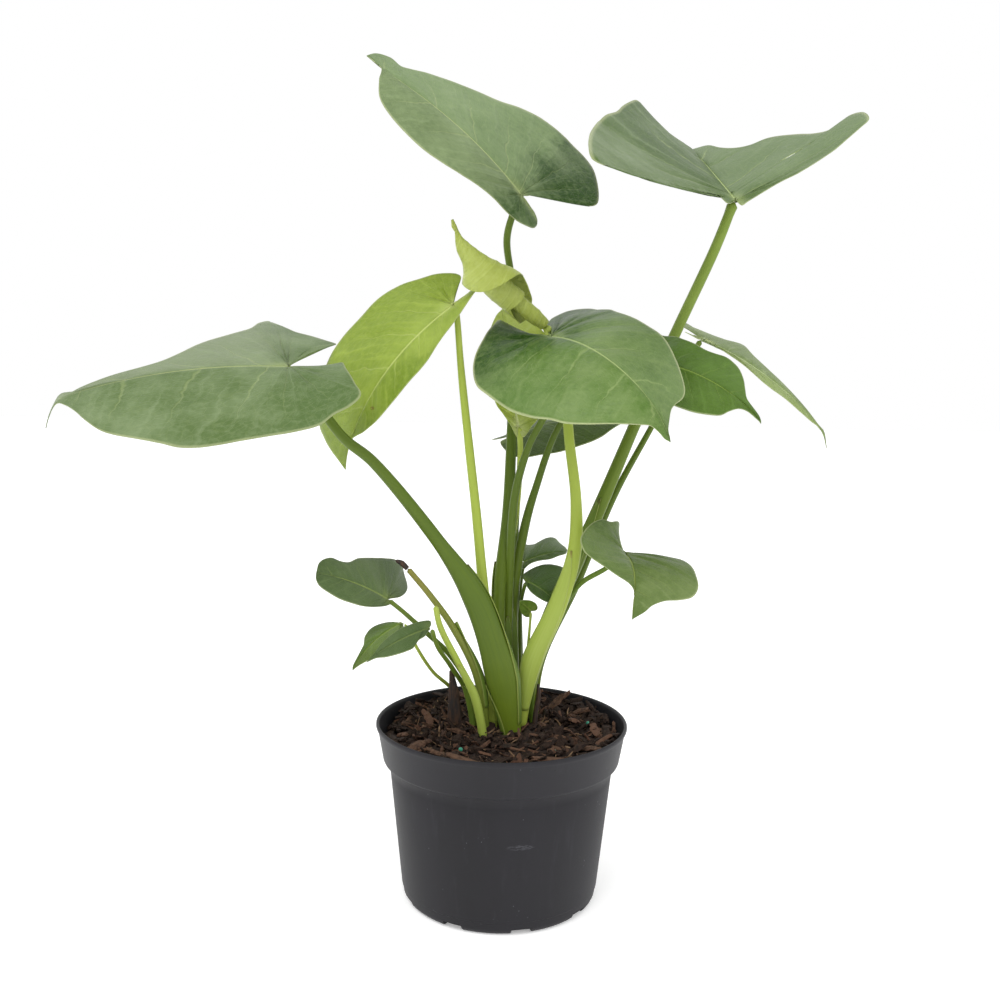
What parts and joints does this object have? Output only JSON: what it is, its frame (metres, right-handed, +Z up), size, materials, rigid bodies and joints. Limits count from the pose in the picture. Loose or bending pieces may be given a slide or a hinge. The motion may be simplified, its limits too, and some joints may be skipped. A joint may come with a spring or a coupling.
{
  "type": "potted swiss cheese plant",
  "caption": "Young bushy aroid house plant with heart-shaped leaves on long stalks, in bark soil in a round tapered nursery pot with a deep collar and drain notches.",
  "frame": {"origin": "centre of the pot's flat underside, on the surface it stands on", "axes": "+Z up along the pot's axis, -Y towards the front of the pictured view, +X to its right"},
  "size_m": [0.5373, 0.2841, 0.5596],
  "materials": {
    "pot": "matte charcoal polypropylene",
    "soil": "damp peat and bark",
    "green_leaf": "waxy mature leaf",
    "lime_leaf": "soft young leaf",
    "green_stalk": "smooth green stalk",
    "lime_stalk": "smooth yellow-green stalk",
    "dry_sheath": "dried brown leaf sheath"
  },
  "bodies": {
    "root": {"leaf_big_left": "green_leaf", "leaf_front_centre": "green_leaf", "leaf_hanging_lime": "lime_leaf", "leaf_inner_bud": "green_leaf", "leaf_inner_lower": "green_leaf", "leaf_inner_upper": "green_leaf", "leaf_low_back": "green_leaf", "leaf_right_dark": "green_leaf", "leaf_right_narrow": "green_leaf", "leaf_rolled_lime": "lime_leaf", "leaf_small_fold": "green_leaf", "leaf_small_left": "green_leaf", "leaf_small_right": "green_leaf", "leaf_small_tip": "green_leaf", "leaf_top_left": "green_leaf", "leaf_top_right": "green_leaf", "leaf_upright_lime": "lime_leaf", "pot": "pot", "sheath_dead_left": "dry_sheath", "sheath_dead_right": "dry_sheath", "soil": "soil", "stalk_big_left": "green_stalk", "stalk_broken": "green_stalk", "stalk_broken_tip": "dry_sheath", "stalk_front_centre": "green_stalk", "stalk_hanging_lime": "lime_stalk", "stalk_inner_bud": "lime_stalk", "stalk_inner_lower": "green_stalk", "stalk_inner_upper": "green_stalk", "stalk_low_back": "green_stalk", "stalk_right_dark": "green_stalk", "stalk_right_narrow": "green_stalk", "stalk_rolled_lime": "lime_stalk", "stalk_small_fold": "green_stalk", "stalk_small_left": "green_stalk", "stalk_small_right": "green_stalk", "stalk_small_tip": "lime_stalk", "stalk_stub": "lime_stalk", "stalk_top_left": "green_stalk", "stalk_top_right": "green_stalk", "stalk_upright_lime": "lime_stalk"}
  },
  "joints": []
}
